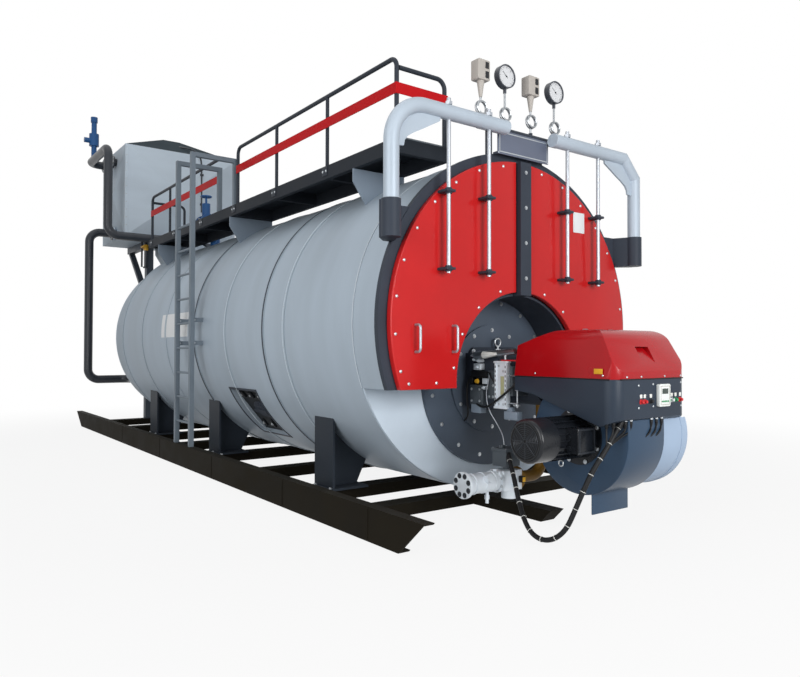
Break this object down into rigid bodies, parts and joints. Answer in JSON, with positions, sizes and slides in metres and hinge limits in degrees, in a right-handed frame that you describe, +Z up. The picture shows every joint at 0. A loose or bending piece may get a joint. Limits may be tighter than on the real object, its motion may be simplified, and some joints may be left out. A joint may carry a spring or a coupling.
{
  "type": "fire-tube steam boiler",
  "caption": "Horizontal fire-tube steam boiler on a skid, with hinged smokebox doors on davits, a burner, a side walkway with ladder, and an economizer at the rear.",
  "frame": {"origin": "on the ground under the middle saddle, on the centre line of the boiler", "axes": "+Z up, +Y along the boiler to the rear, +X to the right seen from the burner end"},
  "size_m": [3.14, 11.348, 5.52],
  "materials": {
    "cladding": "satin, brushed",
    "casing_paint": "satin",
    "front_plate_paint": "satin",
    "frame_paint": "satin",
    "door_paint": "semi-gloss",
    "davit_paint": "satin",
    "bright_steel": "bright",
    "gauge_case": "bright",
    "switch_case": "matte",
    "walkway_paint": "satin",
    "strip_paint": "semi-gloss",
    "ladder_paint": "satin",
    "economizer_sheet": "satin, brushed",
    "roof_sheet": "satin",
    "stand_paint": "satin",
    "pipe_paint": "satin",
    "valve_paint": "semi-gloss",
    "skid_paint": "satin",
    "saddle_paint": "satin",
    "hood_paint": "gloss",
    "housing_paint": "satin",
    "scroll_paint": "satin",
    "intake_paint": "satin",
    "motor_paint": "satin",
    "gas_casting": "satin, cast",
    "gas_pipe_paint": "satin",
    "display_case": "satin",
    "cable_jacket": "matte"
  },
  "bodies": {
    "root": {"air_intake": "intake_paint", "burner_head": "housing_paint", "burner_hood": "hood_paint", "burner_housing": "housing_paint", "burner_rail": "skid_paint", "cable_glands": "cable_jacket", "cable_loom": "cable_jacket", "control_display": "display_case", "cross_beams": "skid_paint", "damper_servo": "switch_case", "davit_sleeves": "frame_paint", "door_frame": "frame_paint", "door_mullion": "frame_paint", "economizer": "economizer_sheet", "economizer_roof": "roof_sheet", "economizer_stand": "stand_paint", "end_railings": "walkway_paint", "fan_motor": "motor_paint", "fan_scroll": "scroll_paint", "feed_pipe": "pipe_paint", "flue": "cladding", "front_plate": "front_plate_paint", "furnace_flange": "frame_paint", "furnace_tunnel": "frame_paint", "gas_actuator": "switch_case", "gas_line": "gas_pipe_paint", "gas_valve": "gas_casting", "gauge_manifold": "davit_paint", "handhole": "saddle_paint", "ladder": "ladder_paint", "ladder_hoops": "ladder_paint", "name_plate": "bright_steel", "outlet_pipe": "pipe_paint", "pressure_gauges": "gauge_case", "pressure_switches": "switch_case", "rail_strips": "strip_paint", "rear_cover": "front_plate_paint", "rear_smokebox": "cladding", "saddles": "saddle_paint", "safety_valve": "valve_paint", "shell": "cladding", "side_railings": "walkway_paint", "siphon_pipes": "bright_steel", "skid_rails": "skid_paint", "smokebox_casing": "casing_paint", "stop_valve": "valve_paint", "walkway": "walkway_paint", "walkway_brackets": "walkway_paint"},
    "left_door": {"left_door": "door_paint", "left_handles": "bright_steel", "left_davit": "davit_paint", "left_hangers": "bright_steel"},
    "right_door": {"right_door": "door_paint", "right_handles": "bright_steel", "right_davit": "davit_paint", "right_hangers": "bright_steel"}
  },
  "joints": [
    {"name": "left_door_swing", "type": "hinge", "parent": "root", "child": "left_door", "pos_m": [-1.41, -3.95, 2.13], "axis": [0, 0, -1], "range_deg": [0, 110]},
    {"name": "right_door_swing", "type": "hinge", "parent": "root", "child": "right_door", "pos_m": [1.41, -3.95, 2.13], "axis": [0, 0, 1], "range_deg": [0, 110]}
  ]
}
